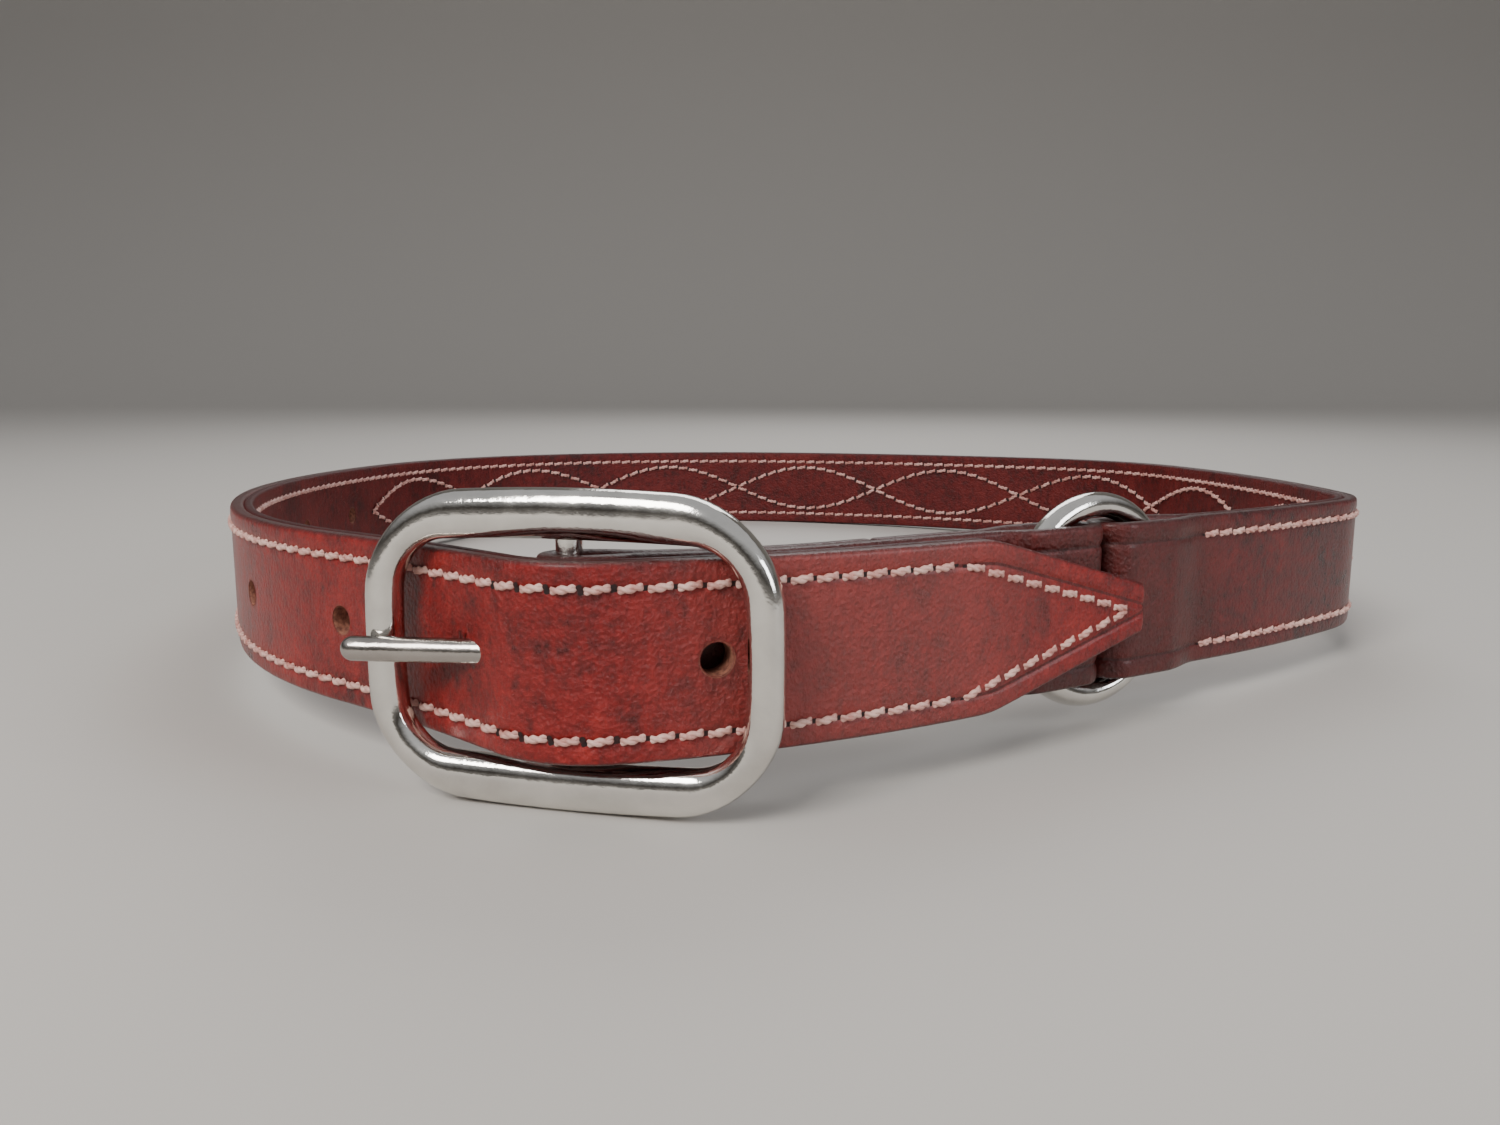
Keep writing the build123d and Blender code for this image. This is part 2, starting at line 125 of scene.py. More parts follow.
def mid_line(course, stations, offset):
    """Places only, at distances along a course, which is a start and its legs."""
    return walk(*course, stations, offset)[0]


def fold_path(run, near, far, reach, wrap, step=0.6):
    """Middle line of a strip folded round a wire, in the fold's own frame, and its thickness.

    The strip comes in at the distance run at the height and thickness near, and leaves there at
    those of far. Both plies part by a smooth step down to the distance reach, run straight at plus
    and minus the wrap's radius, and join in a half circle that stops at the wrap's foremost place.
    """
    radius, foremost, thickness = wrap
    x_in = np.arange(run, foremost + radius, -step)
    ease = np.clip((run - x_in) / (run - reach), 0, 1)
    ease = ease * ease * (3 - 2 * ease)
    angle = np.linspace(0, np.pi, 22)[1:-1]
    arc = np.stack([foremost + radius * (1 - np.sin(angle)), radius * np.cos(angle)], -1)
    first = np.stack([x_in, near[0] + (radius - near[0]) * ease], -1)
    last = np.stack([x_in, -(far[0] + (radius - far[0]) * ease)], -1)[::-1]
    thick = np.concatenate([
        near[1] + (thickness - near[1]) * ease,
        np.full(len(arc), thickness),
        (far[1] + (thickness - far[1]) * ease)[::-1],
    ])
    return np.concatenate([first, arc, last]), thick


def fold_in_plan(points, heading, flip):
    """A fold's own frame set down in plan: x along the heading, or against it where flipped."""
    turn = np.radians(heading) + (np.pi if flip else 0)
    along, across = (np.cos(turn), np.sin(turn)), (-np.sin(turn), np.cos(turn))
    return points @ np.array([along, across])


def point_height(stations):
    """Half height along the strap: full, then a straight taper with a softened shoulder."""
    past = stations - (strap_end - point_length)
    ramp = (past + np.sqrt(past**2 + shoulder_ease**2)) / 2
    return half_width - (half_width - point_half) / point_length * ramp


def grid_faces(rows, columns, close_rows=False, close_columns=True):
    """Four-cornered faces between the neighbours of a grid, which may close on itself either way."""
    r, c = np.meshgrid(
        np.arange(rows - (not close_rows)), np.arange(columns - (not close_columns)), indexing="ij"
    )
    rn, cn = (r + 1) % rows, (c + 1) % columns
    corners = [r * columns + c, r * columns + cn, rn * columns + cn, rn * columns + c]
    return np.stack(corners, -1).reshape(-1, 4)


def turn_outwards(mesh):
    """Turn every face of a mesh outwards."""
    work = bmesh.new()
    work.from_mesh(mesh)
    bmesh.ops.recalc_face_normals(work, faces=work.faces)
    work.to_mesh(mesh)
    work.free()


def strip_mesh(name, middle, thick, half_height, station, round_off=0.9, groove=0.36):
    """A leather strip on edge: a closed section carried along its middle line.

    The section's height above and below the middle is half_height less the inset w, and its two
    faces stand off by half the thickness less a drop. The drop is a quarter circle of radius
    round_off at the edge, a bell-shaped groove at the seam, and a slight bead between them.
    Both ends are rounded by the same quarter circle. Where the strip narrows, the insets shrink
    with it, and those near the middle the most. The UV map holds the station and the height as a
    share of the half width, which tells face, seam and edge apart.
    """
    inset = np.array(section_insets)
    w = np.concatenate([inset, inset[::-1]])
    face = np.concatenate([np.ones(len(inset)), -np.ones(len(inset))])
    side = np.ones(len(w))
    w, face, side = (
        np.concatenate([upper, lower[1:-1]])
        for upper, lower in ((w, w[::-1]), (face, face[::-1]), (side, -side))
    )
    along = np.concatenate([[0.0], np.cumsum(np.linalg.norm(np.diff(middle, axis=0), axis=1))])
    to_end = np.minimum(np.minimum(along, along[-1] - along), round_off)
    shrink = round_off - np.sqrt(round_off**2 - (round_off - to_end) ** 2)
    high = (half_height - shrink)[:, None]
    deep = (thick / 2 - end_thinning * np.minimum(shrink, thick / 2 - thinnest_end))[:, None]
    w = w * (1 - (1 - high / half_width) * (w / half_width) ** inset_crowding)
    corner = np.minimum(w, round_off)
    drop = round_off - np.sqrt(round_off**2 - (round_off - corner) ** 2)
    drop = drop + groove * np.exp(-(((w - seam_inset) / groove_width) ** 2))
    drop = drop - bead_height * np.exp(-(((w - bead_inset) / bead_width) ** 2))
    offset = face * np.maximum(deep - drop, thinnest_edge)
    travel = np.gradient(middle, axis=0)
    travel /= np.linalg.norm(travel, axis=1, keepdims=True)
    right = np.stack([travel[:, 1], -travel[:, 0]], -1)
    plan = middle[:, None, :] + offset[..., None] * right[:, None, :]
    flat = np.concatenate([plan, (side * (high - w))[..., None]], -1)
    rows, columns = flat.shape[:2]
    share = side * (1 - w / half_width) + 0 * offset
    lay = np.stack([np.repeat(station[:, None], columns, 1), share], -1).reshape(-1, 2)
    ends = [list(range(columns))[::-1], list(range((rows - 1) * columns, rows * columns))]
    mesh = bpy.data.meshes.new(name)
    mesh.from_pydata(stood(flat.reshape(-1, 3)).tolist(), [], grid_faces(rows, columns).tolist() + ends)
    corners = np.empty(len(mesh.loops), dtype=np.int32)
    mesh.loops.foreach_get("vertex_index", corners)
    mesh.uv_layers.new(name="lay").data.foreach_set("uv", lay[corners].ravel())
    mesh.shade_smooth()
    turn_outwards(mesh)
    return mesh


def piece_of(name, mesh, material=None):
    """An object in the scene that holds a mesh with its material, a light or a camera."""
    piece = bpy.data.objects.new(name, mesh)
    bpy.context.scene.collection.objects.link(piece)
    if material:
        piece.data.materials.append(material)
    return piece


def material_of(name):
    """A new material, its node tree and its shader."""
    material = bpy.data.materials.new(name)
    material.use_nodes = True
    return material, material.node_tree, material.node_tree.nodes["Principled BSDF"]


def node_of(tree, kind, **values):
    """A shader node with its properties and sockets set, and its inputs wired by socket name."""
    node = tree.nodes.new(kind)
    for key, value in values.items():
        if key.startswith("in_"):
            name = key[3:]
            socket = node.inputs[int(name) if name.isdigit() else name.replace("_", " ")]
            if isinstance(value, bpy.types.NodeSocket):
                tree.links.new(value, socket)
            else:
                socket.default_value = value
        else:
            setattr(node, key, value)
    return node


def place_of(tree):
    """The place on the piece, in metres, that the patterns follow."""
    return node_of(tree, "ShaderNodeTexCoord").outputs["Object"]


def noise_of(tree, place, scale, detail=2, rough=0.5):
    """Cloudy grey values of a size set by the scale."""
    noise = node_of(
        tree, "ShaderNodeTexNoise", in_Vector=place, in_Scale=scale, in_Detail=detail, in_Roughness=rough,
    )
    return noise.outputs["Fac"]


def math_of(tree, operation, *values):
    """One sum on values or sockets."""
    inputs = {f"in_{number}": value for number, value in enumerate(values)}
    return node_of(tree, "ShaderNodeMath", operation=operation, **inputs).outputs[0]


def range_of(tree, value, begin, end, first=0.0, last=1.0, kind="LINEAR"):
    """A value that goes from first to last while its source goes from begin to end."""
    carried = node_of(
        tree, "ShaderNodeMapRange", interpolation_type=kind, in_Value=value,
        in_1=begin, in_2=end, in_3=first, in_4=last,
    )
    return carried.outputs[0]


def blend_of(tree, amount, under, over):
    """One colour laid over another by an amount."""
    mix = node_of(tree, "ShaderNodeMix", data_type="RGBA", in_0=amount, in_6=under, in_7=over)
    return mix.outputs[2]


def bump_of(tree, height, strength, distance, **under):
    """The bump of a height, laid over the one given as in_Normal."""
    bump = node_of(
        tree, "ShaderNodeBump", in_Strength=strength, in_Distance=distance, in_Height=height, **under,
    )
    return bump.outputs["Normal"]


def ramp_of(tree, fac, *stops):
    """A colour ramp through (position, colour) stops."""
    ramp = node_of(tree, "ShaderNodeValToRGB", in_Fac=fac)
    while len(ramp.color_ramp.elements) < len(stops):
        ramp.color_ramp.elements.new(0.5)
    for element, (position, colour) in zip(ramp.color_ramp.elements, stops):
        element.position = position
        element.color = (*colour, 1)
    return ramp.outputs["Color"]


# The shares of the three noises in the leather's mottle, and the mottle's values for its shades.
cloud_share, drawn_share, fleck_share = 0.42, 0.24, 0.38
mottle_stops = (0.40, 0.52, 0.66)
# Places along the strap, in metres: where its colour goes over to a brighter copy, painted light on
# the lit front towards the point; where it has a painted sheen; and where the fold's darker colour ends.
painted_light_from, painted_light_to = 0.66, 0.86
sheen_middle, sheen_core, sheen_reach = 0.960, 0.012, 0.052
fold_tone_from, fold_tone_to = 0.030, 0.040
sheen_amount, sheen_colour = 0.42, (0.30, 0.085, 0.075, 1)
fold_tone_amount, fold_tone_colour = 0.5, (0.085, 0.010, 0.007, 1)
# The seam's line of painted shade, in its groove, and the burnished edge, as shares of the half width.
seam_share, seam_line, edge_share = 1 - seam_inset / half_width, 0.018, 0.955
seam_shade_amount, edge_amount = 0.6, 0.85


def grain_leather(name, shades, burnish_and_seam_shade, gloss, coat, point_shades=None):
    """Dyed, waxed leather: mottled colour, pebble grain, painted shade in the seam groove, burnished edges.

    The mottle is the sum of a coarse noise, a fine one and one drawn out in height, and picks the
    colour from three shades. Where a second set of shades is given, the colour goes over to it along the
    strap as painted light on the lit front towards the point, with a painted sheen, pale and dusty pink,
    where it leaves the buckle, and a darker, browner colour by the ring's fold.
    """
    material, tree, shader = material_of(name)
    place = place_of(tree)
    cloud = noise_of(tree, place, 55, 6, 0.6)
    tall = node_of(tree, "ShaderNodeMapping", in_Vector=place, in_Scale=(1.0, 1.0, 0.28))
    drawn = noise_of(tree, tall.outputs["Vector"], 520, 5, 0.7)
    fleck = noise_of(tree, place, 420, 4, 0.65)
    mottle = math_of(tree, "MULTIPLY", drawn, drawn_share)
    mottle = math_of(tree, "MULTIPLY_ADD", cloud, cloud_share, mottle)
    mottle = math_of(tree, "MULTIPLY_ADD", fleck, fleck_share, mottle)
    colour = ramp_of(tree, mottle, *zip(mottle_stops, shades))
    lay = node_of(tree, "ShaderNodeUVMap", uv_map="lay").outputs["UV"]
    split = node_of(tree, "ShaderNodeSeparateXYZ", in_Vector=lay)
    along = split.outputs["X"]
    if point_shades:
        # Painted light: a brighter copy of the leather's shades over the strap's lit front, towards the
        # point.
        painted_lit_colour = ramp_of(tree, mottle, *zip(mottle_stops, point_shades))
        painted_light = range_of(tree, along, painted_light_from, painted_light_to, kind="SMOOTHSTEP")
        colour = blend_of(tree, painted_light, colour, painted_lit_colour)
        # A painted sheen, pale and dusty pink, on the strap where it leaves the buckle.
        from_sheen = math_of(tree, "ABSOLUTE", math_of(tree, "SUBTRACT", along, sheen_middle))
        painted_sheen = range_of(tree, from_sheen, sheen_core, sheen_reach, sheen_amount, 0.0, kind="SMOOTHSTEP")
        colour = blend_of(tree, painted_sheen, colour, sheen_colour)
        # Darker and browner by the ring's fold, up to 30 mm along and fading out by 40 mm; all over the
        # chape.
        tone_shift = range_of(tree, along, fold_tone_from, fold_tone_to, fold_tone_amount, 0.0, kind="SMOOTHSTEP")
        colour = blend_of(tree, tone_shift, colour, fold_tone_colour)
    share = math_of(tree, "ABSOLUTE", split.outputs["Y"])
    # A thin line of painted shade along the seam's groove, in the dark edge colour.
    seam_groove_shade = math_of(tree, "COMPARE", share, seam_share, seam_line)
    colour = blend_of(tree, math_of(tree, "MULTIPLY", seam_groove_shade, seam_shade_amount), colour, (*burnish_and_seam_shade, 1))
    at_edge = range_of(tree, share, edge_share, 1.0, 0.0, edge_amount)
    colour = blend_of(tree, at_edge, colour, (*burnish_and_seam_shade, 1))
    tree.links.new(colour, shader.inputs["Base Color"])
    pebble = node_of(tree, "ShaderNodeTexVoronoi", in_Vector=place, in_Scale=1150, in_Randomness=1.0)
    crease = noise_of(tree, place, 900, 5, 0.7)
    relief = math_of(tree, "MULTIPLY_ADD", drawn, 0.8, crease)
    relief = math_of(tree, "MULTIPLY_ADD", pebble.outputs["Distance"], 0.5, relief)
    dents = bump_of(tree, cloud, 0.6, 0.002)
    tree.links.new(bump_of(tree, relief, 0.95, 0.0005, in_Normal=dents), shader.inputs["Normal"])
    tree.links.new(range_of(tree, mottle, 0.3, 0.75, gloss - 0.07, gloss + 0.16), shader.inputs["Roughness"])
    shader.inputs["Coat Weight"].default_value = coat
    shader.inputs["Coat Roughness"].default_value = 0.3
    shader.inputs["Specular IOR Level"].default_value = 0.36
    return material


back_stations = np.arange(return_end, ring_run, -fold_step)
front_stations = np.concatenate([
    np.arange(ring_run + fold_step, strap_end - 1, strap_step), strap_end - end_steps,
])
fold, fold_thick = fold_path(
    ring_run, (lining_thickness / 2, lining_thickness), (grain_thickness / 2, grain_thickness), fold_reach,
    (fold_bore + grain_thickness / 2, fold_gap + grain_thickness / 2, grain_thickness),
)
strap_middle = np.concatenate([
    mid_line(strap, back_stations, lining_thickness / 2),
    fold_in_plan(fold, ring_heading, False),
    mid_line(strap, front_stations, -grain_thickness / 2),
])
strap_thick = np.concatenate([
    np.full(len(back_stations), lining_thickness), fold_thick, np.full(len(front_stations), grain_thickness),
])
fold_stations = np.linspace(ring_run - 1, 0, len(fold))
strap_stations = np.concatenate([back_stations, fold_stations, front_stations]) / 1000
strap_heights = np.concatenate([
    np.full(len(back_stations) + len(fold), half_width), point_height(front_stations),
])
oxblood = grain_leather(
    "oxblood_grain", [(0.034, 0.002, 0.002), (0.110, 0.004, 0.0035), (0.20, 0.013, 0.010)],
    (0.032, 0.003, 0.003), gloss=0.28, coat=0.32,
    # The second shades are painted light: the lit front of the same leather.
    point_shades=[(0.070, 0.002, 0.002), (0.215, 0.004, 0.003), (0.36, 0.018, 0.013)],
)
long_strap = piece_of(
    "long_strap", strip_mesh("long_strap", strap_middle, strap_thick, strap_heights, strap_stations), oxblood,
)
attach(long_strap, "strap")
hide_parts("main_strap")

# ---------------------------------------------------------------- lining
# A second strip, 2 mm thick, glued and stitched inside the long strap from the end of the return
# to the point. Its flesh side is dyed deep red and shows inside the loop.
lining_start = return_end + 0.4
lining_stations = np.concatenate([
    lining_start + end_steps[::-1], np.arange(lining_start + 2, strap_end - 1, strap_step),
    strap_end - end_steps,
])
lining_mesh = strip_mesh(
    "lining", mid_line(strap, lining_stations, lining_thickness / 2),
    np.full(len(lining_stations), lining_thickness), point_height(lining_stations), lining_stations / 1000,
    round_off=0.7, groove=0.2,
)
lining = piece_of("lining", lining_mesh, grain_leather(
    "lining_leather", [(0.036, 0.002, 0.002), (0.105, 0.004, 0.004), (0.17, 0.014, 0.012)],
    (0.030, 0.003, 0.003), gloss=0.46, coat=0.08,
))
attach(lining, "strap")
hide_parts("strap_lining")

# ---------------------------------------------------------------- buckle
# A cast, polished centre-bar buckle. The frame is a bowed rectangle with round corners and a
# full, rounded section. The centre bar behind it carries the chape and the prong.
frame_heading = -13.5
bar_place = (np.array(tilt["pos_m"]) - ring_middle) @ lean * 1000
bar_setback = 1.5
buckle_length, buckle_height, buckle_depth = 71.8, 53.2, 6.0
side_bar, long_bar = 6.0, 8.3
frame_corner, opening_corner, opening_bow = 16.5, 7.6, 0.8
section_fullness = 2.3
upwards = np.array([0, 0, 1.0])


def level_ways(heading):
    """Unit directions along a heading in degrees and square to its right, both level."""
    turn = np.radians(heading)
    return np.array([np.cos(turn), np.sin(turn), 0.0]), np.array([np.sin(turn), -np.cos(turn), 0.0])


def bowed_loop(length, height, corner, end_bow=1.2, long_bow=1.8, side=26, turn=14):
    """A closed outline with the same count of points for any size.

    Straight sides and quarter-circle corners make a rectangle, and each side is then pushed out
    by its bow times one less the square of the distance from the side's middle.
    """
    x, y = length / 2 - end_bow, height / 2 - long_bow
    t = np.linspace(-1, 1, side, endpoint=False)
    a = np.linspace(0, np.pi / 2, turn, endpoint=False)
    pieces = []
    for quarter in range(4):
        far, flat = (x, y - corner) if quarter % 2 == 0 else (y, x - corner)
        straight = np.stack([np.full(side, far), t * flat], -1)
        bend = np.stack([far - corner + corner * np.cos(a), flat + corner * np.sin(a)], -1)
        spin = np.pi / 2 * quarter
        turned = np.array([[np.cos(spin), np.sin(spin)], [-np.sin(spin), np.cos(spin)]])
        pieces.append(np.concatenate([straight, bend]) @ turned)
    loop = np.concatenate(pieces)
    push = np.stack([
        end_bow * (loop[:, 0] / x) * (1 - (loop[:, 1] / y) ** 2),
        long_bow * (loop[:, 1] / y) * (1 - (loop[:, 0] / x) ** 2),
    ], -1)
    return loop + push


def polished_steel(name, tone, roughness, ding=0.25):
    """Polished stainless steel with faint hairlines, a few shallow dings and uneven polish."""
    material, tree, shader = material_of(name)
    place = place_of(tree)
    smear = noise_of(tree, place, 120, 5, 0.6)
    hair = noise_of(tree, place, 2600, 3, 0.7)
    dull = tuple(0.82 * c for c in tone)
    tree.links.new(ramp_of(tree, smear, (0.3, dull), (0.65, tone)), shader.inputs["Base Color"])
    rough = range_of(tree, smear, 0.35, 0.7, roughness - 0.04, roughness + 0.09)
    tree.links.new(rough, shader.inputs["Roughness"])
    waves = bump_of(tree, smear, ding, 0.0006)
    tree.links.new(bump_of(tree, hair, 0.12, 0.00004, in_Normal=waves), shader.inputs["Normal"])
    shader.inputs["Metallic"].default_value = 1.0
    return material


def skin(name, points, close_rows, material, body, slot, *nodes):
    """A grid of points, closed round its columns, made into a smooth piece on a body.

    Its rows close too where asked, and the piece stands for the CAD nodes named.
    """
    rows, columns = points.shape[:2]
    faces = grid_faces(rows, columns, close_rows)[:, [0, 3, 2, 1]]
    mesh = bpy.data.meshes.new(name)
    mesh.from_pydata(stood(points.reshape(-1, 3)).tolist(), [], faces.tolist())
    turn_outwards(mesh)
    mesh.shade_smooth()
    piece = piece_of(name, mesh, material)
    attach(piece, body)
    if nodes:
        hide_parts(*nodes)


steel = polished_steel("polished_steel", (0.82, 0.795, 0.75), 0.085)
frame_along, frame_out = level_ways(frame_heading)
outside = bowed_loop(buckle_length, buckle_height, frame_corner)
inside = bowed_loop(
    buckle_length - 2 * side_bar, buckle_height - 2 * long_bar, opening_corner, long_bow=opening_bow,
)
core, half_bar = (outside + inside) / 2, (outside - inside) / 2
around = np.linspace(0, 2 * np.pi, 30, endpoint=False)
reach_out, reach_up = (
    np.sign(way) * np.abs(way) ** (2 / section_fullness) for way in (np.cos(around), np.sin(around))
)
section = core[:, None, :] + half_bar[:, None, :] * reach_out[None, :, None]
depth = buckle_depth / 2 * np.broadcast_to(reach_up[None, :], section.shape[:2])
buckle_points = (
    bar_place + bar_setback * frame_out + section[..., :1] * frame_along + section[..., 1:] * upwards
    + depth[..., None] * frame_out
)
skin("buckle_loop", buckle_points, True, steel, "buckle", "hardware", "buckle_frame")
for bar_slot in frame["nodes"]["centre_bar"].material_slots:
    bar_slot.material = steel

# ---------------------------------------------------------------- prong
# A round bar forged to a rounded tip, its root bent into an eye that turns on the centre bar.
# The tip rests on the toe bar.
prong_radius, prong_overhang, toe_gap = 2.1, 4.6, 0.15
eye_bore, eye_radius, eye_half = 2.25, 4.85, 3.2
toe_along = -(buckle_length - side_bar) / 2
toe_out = bar_setback + buckle_depth / 2 + toe_gap + prong_radius
root_out = eye_radius - prong_radius
worn_steel = polished_steel("worn_steel", (0.50, 0.465, 0.43), 0.2, ding=0.45)
eye_profile = np.array([
    (eye_bore, 2.6), (eye_bore + 0.3, 3.0), (eye_bore + 0.9, eye_half),
    (eye_radius - 1.1, eye_half), (eye_radius - 0.4, 2.9), (eye_radius, 2.0),
])
eye_section = np.roll(np.concatenate([eye_profile, eye_profile[::-1] * (1, -1)]), 1, axis=0)
turn = np.linspace(0, 2 * np.pi, 56, endpoint=False)
eye_points = bar_place + (
    eye_section[None, :, :1] * np.stack([np.cos(turn), np.sin(turn), 0 * turn], -1)[:, None, :]
    + eye_section[None, :, 1:] * upwards
)
skin("prong_eye", eye_points, True, worn_steel, "prong", "hardware")
root = bar_place + root_out * frame_out
tip_line = toe_along * frame_along + (toe_out - root_out) * frame_out
shank = tip_line / np.linalg.norm(tip_line)
shank_length = np.linalg.norm(tip_line) + prong_overhang
side_way = np.cross(shank, upwards)
cap_start = shank_length - prong_radius
run = np.concatenate([
    np.linspace(0, cap_start, 40),
    shank_length - prong_radius * (1 - np.sin(np.linspace(0, np.pi / 2, 12)[1:])),
])
cap = np.clip((run - cap_start) / prong_radius, 0, 1)
girth = prong_radius * np.sqrt(np.maximum(1 - cap**2, 0.0004))
shank_ring = np.cos(turn)[None, :, None] * side_way + np.sin(turn)[None, :, None] * upwards
shank_points = root + run[:, None, None] * shank + girth[:, None, None] * shank_ring
skin("prong_shank", shank_points, False, worn_steel, "prong", "hardware", "prong")

# ---------------------------------------------------------------- ring
# A welded ring of 5 mm polished wire that joins the two halves of the belt.
wire_radius, ring_radius = 2.5, 19.5
ring_along, ring_face = level_ways(ring_heading)
spin = np.linspace(0, 2 * np.pi, 128, endpoint=False)
outward = np.cos(spin)[:, None] * ring_along + np.sin(spin)[:, None] * upwards
ring_points = ring_radius * outward[:, None, :] + wire_radius * (
    np.cos(around)[None, :, None] * outward[:, None, :] + np.sin(around)[None, :, None] * ring_face
)
skin("ring_wire", ring_points, True, steel, "ring", "hardware", "ring")

# ---------------------------------------------------------------- chape
# One strip folded round the ring and round the centre bar, its ends butted inside. A slot at the
# bar leaves room for the prong's eye.
chape_heading = 8.0
chape_legs = [(14.0, 0.0), (32.38, 23.59), (32.84, -1.59), (30.0, 0.0)]
chape = ((bar_place[0], bar_place[1], chape_heading), chape_legs)
chape_end = sum(leg[0] for leg in chape_legs)
chape_thickness = 2.8
half_ply = chape_thickness / 2
butt_station, butt_gap = chape_end / 2, 0.2
bar_run, bar_reach, bar_bore = 14.0, 1.0, 2.5
inner_back = np.concatenate([
    butt_station - butt_gap - end_steps[::-1], np.arange(butt_station - 2, bar_run, -fold_step),
])
outer_run = np.arange(bar_run + fold_step / 2, chape_end - ring_run, fold_step)
inner_front = np.concatenate([
    np.arange(chape_end - ring_run - fold_step / 2, butt_station + 2, -fold_step),
    butt_station + butt_gap + end_steps,
])
ply = (half_ply, chape_thickness)
bar_fold = fold_path(
    bar_run, ply, ply, bar_reach, (bar_bore + half_ply, -bar_bore - half_ply, chape_thickness), step=0.5,
)[0]
ring_fold = fold_path(
    ring_run, ply, ply, fold_reach, (fold_bore + half_ply, fold_gap + half_ply, chape_thickness),
)[0]
chape_middle = np.concatenate([
    mid_line(chape, inner_back, half_ply),
    bar_place[:2] + fold_in_plan(bar_fold, chape_heading, False),
    mid_line(chape, outer_run, -half_ply),
    fold_in_plan(ring_fold, ring_heading, True),
    mid_line(chape, inner_front, half_ply),
])
chape_points = len(chape_middle)
chape_strip = piece_of("chape_strip", strip_mesh(
    "chape_strip", chape_middle, np.full(chape_points, chape_thickness), np.full(chape_points, half_width),
    np.zeros(chape_points),
), oxblood)
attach(chape_strip, "strap")
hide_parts("chape")

# ---------------------------------------------------------------- punched holes and the slot
# Eight round holes punched through strap and lining. The prong stands in the second one, which
# it has pulled long. Their raw, paler walls were never dyed.
hole_radius, hole_play, punch_reach, hole_edge_angle = 2.7, 0.08, 6, 50
first_hole, hole_pitch, hole_count, prong_hole = 92.5, 40.2, 8, 1
hole_stations = strap_end - first_hole - hole_pitch * np.arange(hole_count)
free_holes = np.delete(hole_stations, prong_hole)
# The prong's own hole leaves it prong_play, and swings of these degrees either way.
prong_play, rock_room, lift_room = 0.3, 1.3, -6.5
slot_half_length, slot_half_height = 7, 3.5


def prism(outline, low, high):
    """Corners and faces of an outline carried straight from low to high."""
    count = len(outline)
    points = np.concatenate([outline + low, outline + high])
    i = np.arange(count)
    walls = np.stack([i, (i + 1) % count, (i + 1) % count + count, i + count], -1).tolist()
    return points, walls + [i[::-1].tolist(), (i + count).tolist()]


def cutter_of(name, prisms):
    """One hidden tool made of several closed prisms."""
    points, faces, base = [], [], 0
    for corners, walls in prisms:
        points.append(corners)
        faces += [[k + base for k in wall] for wall in walls]
        base += len(corners)
    mesh = bpy.data.meshes.new(name)
    mesh.from_pydata(stood(np.concatenate(points)).tolist(), [], faces)
    turn_outwards(mesh)
    return piece_of(name, mesh)


def cut(piece, tool):
    """Cut the tool out of the piece for good."""
    step = piece.modifiers.new("cut", "BOOLEAN")
    step.operation, step.solver, step.object = "DIFFERENCE", "EXACT", tool
    ready = piece.evaluated_get(bpy.context.evaluated_depsgraph_get())
    mesh = bpy.data.meshes.new_from_object(ready)
    piece.modifiers.clear()
    piece.data = mesh
    mesh.set_sharp_from_angle(angle=np.radians(hole_edge_angle))


round_edge = np.linspace(0, 2 * np.pi, 40, endpoint=False)
# Each hole has its middle, its left direction, and a unit circle in the plane of the strap's face.
holes = []
for centre, forward, left in zip(*walk(*strap, free_holes)):
    circle = np.cos(round_edge)[:, None] * np.append(forward, 0) + np.sin(round_edge)[:, None] * upwards
    holes.append((np.append(centre, 0), np.append(left, 0), circle))
punches = [
    prism(centre + (hole_radius + hole_play) * circle, -punch_reach * left, punch_reach * left)
    for centre, left, circle in holes
]
# The prong's hole lies between the shank's two sides, each swung about the bar as far as it goes.
swept = []
for side, swing, reaches in ((1, rock_room, (0.0, shank_length)), (-1, lift_room, (shank_length, 0.0))):
    swing = np.radians(swing)
    for reach in reaches:
        x, y, _ = root - bar_place + reach * shank - side * (prong_radius + prong_play) * side_way
        turned = [x * np.cos(swing) + y * np.sin(swing), y * np.cos(swing) - x * np.sin(swing), 0]
        swept.append(bar_place + np.array(turned))
punches.append(prism(np.array(swept), -hole_radius * upwards, hole_radius * upwards))
punch = cutter_of("punch", punches)
cut(long_strap, punch)
cut(lining, punch)
slot_along, slot_right = level_ways(chape_heading)
slot_corners = bar_place + slot_half_length * np.array([
    x * slot_along - y * slot_right for x, y in ((-1, -1), (1, -1), (1, 1), (-1, 1))
])
slot_tool = cutter_of("slot_tool", [
    prism(slot_corners, -slot_half_height * upwards, slot_half_height * upwards),
])
cut(chape_strip, slot_tool)
for tool in (punch, slot_tool):
    bpy.data.objects.remove(tool)

raw, raw_tree, raw_shader = material_of("raw_leather")
fibre = noise_of(raw_tree, place_of(raw_tree), 1400, 5)
raw_colour = ramp_of(raw_tree, fibre, (0.3, (0.10, 0.025, 0.018)), (0.65, (0.32, 0.13, 0.08)))
raw_tree.links.new(raw_colour, raw_shader.inputs["Base Color"])
raw_shader.inputs["Roughness"].default_value = 0.8
# A hole's wall, from its middle outwards and from the outer face, at -3, to the inner one, at 2:
# turned over at both faces and nearly straight between them.
wall_profile = np.array([
    (3.02, -3.02), (2.92, -3.0), (2.76, -2.85), (2.68, -2.4), (2.66, 0.0), (2.68, 1.6), (2.85, 1.95),
    (3.15, 2.03),
])
for number, (centre, left, circle) in enumerate(holes, 1):
    wall = centre + wall_profile[:, None, :1] * circle[None] + wall_profile[:, None, 1:] * left
    skin(f"hole_wall_{number}", wall, False, raw, "strap", "main_strap")

